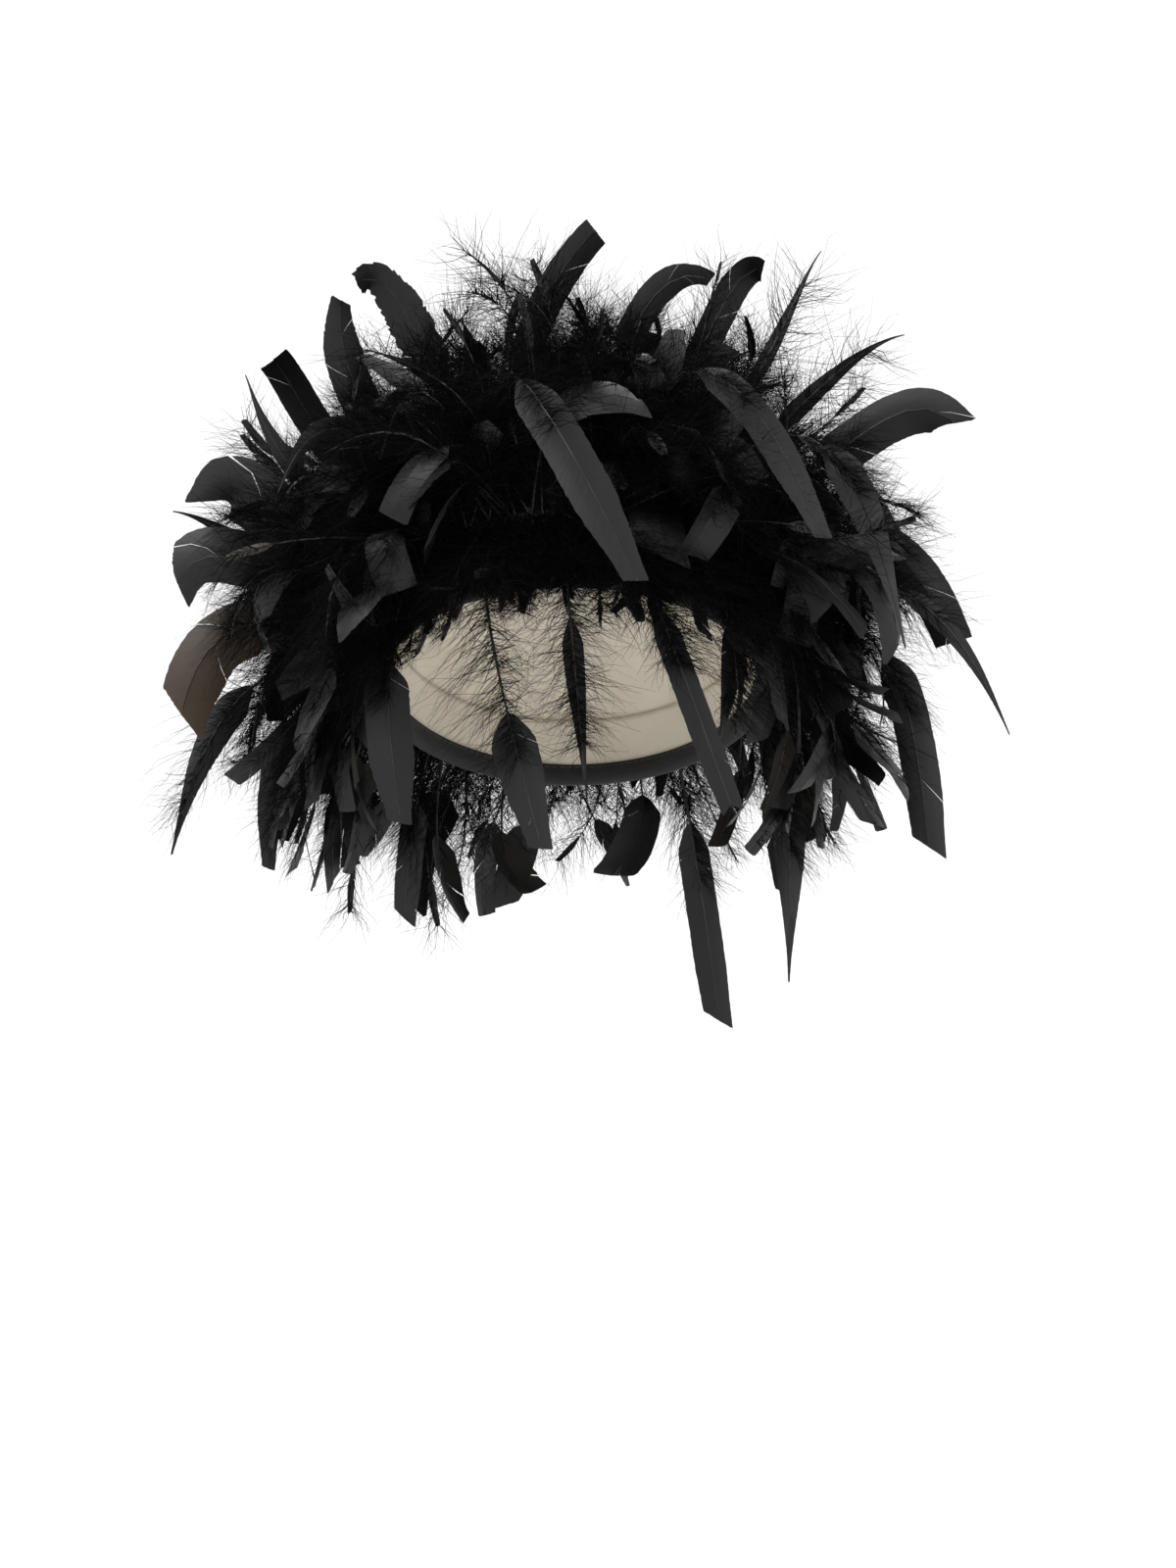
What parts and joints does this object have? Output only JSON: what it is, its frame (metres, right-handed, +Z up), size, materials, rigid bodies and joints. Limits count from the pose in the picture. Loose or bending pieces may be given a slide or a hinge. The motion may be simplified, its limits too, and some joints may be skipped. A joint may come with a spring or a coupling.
{
  "type": "feather boa headdress",
  "caption": "Feather boa of black chandelle feathers, coiled and sewn on a soft lined cap, worn as a full feather hat with a fringe over the brow.",
  "frame": {"origin": "centre of the head opening, in the plane of the rim", "axes": "+Z up as worn, -Y the way the face looks, +X to the right of someone who looks at the face"},
  "size_m": [0.3622, 0.3236, 0.3582],
  "materials": {
    "feather_black": "dyed turkey feather, soft sheen on the blade",
    "feather_grey": "dyed turkey feather, thin blade that shows the light",
    "feather_brown": "dyed turkey feather, thin blade, brown where the dye is weak",
    "feather_down": "matt down",
    "cap_felt": "black woven cloth",
    "satin_lining": "ivory satin",
    "ribbon": "ivory grosgrain",
    "boa_cord": "black twisted cord",
    "thread": "black waxed thread",
    "wire_steel": "spring wire"
  },
  "bodies": {
    "root": {"cap_gore_1": "cap_felt", "cap_gore_2": "cap_felt", "cap_gore_3": "cap_felt", "cap_gore_4": "cap_felt", "cap_gore_5": "cap_felt", "cap_gore_6": "cap_felt", "crown_button": "cap_felt", "lining": "satin_lining", "sweatband": "ribbon", "rim_binding": "cap_felt", "brim_wire": "wire_steel", "wire_joiner": "wire_steel", "boa_cord": "boa_cord", "start_whipping": "thread", "end_whipping": "thread", "tack_stitch_1": "thread", "tack_stitch_2": "thread", "tack_stitch_3": "thread", "tack_stitch_4": "thread", "tack_stitch_5": "thread", "tack_stitch_6": "thread", "turn_1_down": "feather_down", "turn_2_down": "feather_down", "turn_3_down": "feather_down", "turn_4_down": "feather_down", "turn_5_down": "feather_down", "crown_feather_bent_left": "feather_black", "crown_feather_low_left": "feather_black", "crown_feather_upright": "feather_black", "crown_feather_bent_right": "feather_black", "crown_feather_under_right": "feather_black", "left_feather_square": "feather_black", "left_feather_spike": "feather_black", "left_feather_grey": "feather_grey", "left_feather_thin": "feather_black", "left_feather_broad": "feather_black", "left_feather_brown": "feather_brown", "left_feather_fluffy": "feather_black", "left_feather_low": "feather_black", "right_feather_spike_high": "feather_black", "right_feather_point_high": "feather_black", "right_feather_corner": "feather_black", "right_feather_wide": "feather_black", "right_feather_thin": "feather_black", "right_feather_low": "feather_black", "right_feather_grey": "feather_grey", "front_feather_left": "feather_black", "front_feather_sheen": "feather_black", "front_feather_right": "feather_black", "back_feather_high": "feather_black", "back_feather_left": "feather_black", "back_feather_right": "feather_black"},
    "temple_feather_left_swing": {"temple_feather_left": "feather_black"},
    "fringe_feather_centre_swing": {"fringe_feather_centre": "feather_black"},
    "fringe_feather_point_swing": {"fringe_feather_point": "feather_black"},
    "fringe_feather_curl_swing": {"fringe_feather_curl": "feather_black"},
    "fringe_feather_short_swing": {"fringe_feather_short": "feather_black"},
    "side_feather_right_swing": {"side_feather_right": "feather_black"},
    "nape_feather_right_swing": {"nape_feather_right": "feather_black"},
    "nape_feather_left_swing": {"nape_feather_left": "feather_black"}
  },
  "joints": [
    {"name": "temple_left_swing", "type": "hinge", "parent": "root", "child": "temple_feather_left_swing", "pos_m": [-0.0658, -0.0548, 0.044], "axis": [-0.6428, 0.766, 0], "range_deg": [-3, 30], "stiffness_Nm_per_rad": 0.0002},
    {"name": "fringe_centre_swing", "type": "hinge", "parent": "root", "child": "fringe_feather_centre_swing", "pos_m": [-0.0321, -0.0814, 0.0572], "axis": [-0.9272, 0.3746, 0], "range_deg": [-3, 30], "stiffness_Nm_per_rad": 0.0002},
    {"name": "fringe_point_swing", "type": "hinge", "parent": "root", "child": "fringe_feather_point_swing", "pos_m": [-0.0029, -0.0876, 0.0614], "axis": [-0.9994, 0.0349, 0], "range_deg": [-3, 30], "stiffness_Nm_per_rad": 0.0002},
    {"name": "fringe_curl_swing", "type": "hinge", "parent": "root", "child": "fringe_feather_curl_swing", "pos_m": [0.0208, -0.0839, 0.0613], "axis": [-0.9703, -0.2419, 0], "range_deg": [-3, 30], "stiffness_Nm_per_rad": 0.0002},
    {"name": "fringe_short_swing", "type": "hinge", "parent": "root", "child": "fringe_feather_short_swing", "pos_m": [0.0567, -0.0605, 0.0541], "axis": [-0.7431, -0.6691, 0], "range_deg": [-3, 30], "stiffness_Nm_per_rad": 0.0002},
    {"name": "side_right_swing", "type": "hinge", "parent": "root", "child": "side_feather_right_swing", "pos_m": [0.08, 0.0363, 0.02], "axis": [0.2588, -0.9659, 0], "range_deg": [-3, 30], "stiffness_Nm_per_rad": 0.0002},
    {"name": "nape_right_swing", "type": "hinge", "parent": "root", "child": "nape_feather_right_swing", "pos_m": [0.0412, 0.0939, 0.0006], "axis": [0.866, -0.5, 0], "range_deg": [-3, 30], "stiffness_Nm_per_rad": 0.0002},
    {"name": "nape_left_swing", "type": "hinge", "parent": "root", "child": "nape_feather_left_swing", "pos_m": [-0.0616, 0.0744, -0.0154], "axis": [0.7071, 0.7071, 0], "range_deg": [-3, 30], "stiffness_Nm_per_rad": 0.0002}
  ]
}
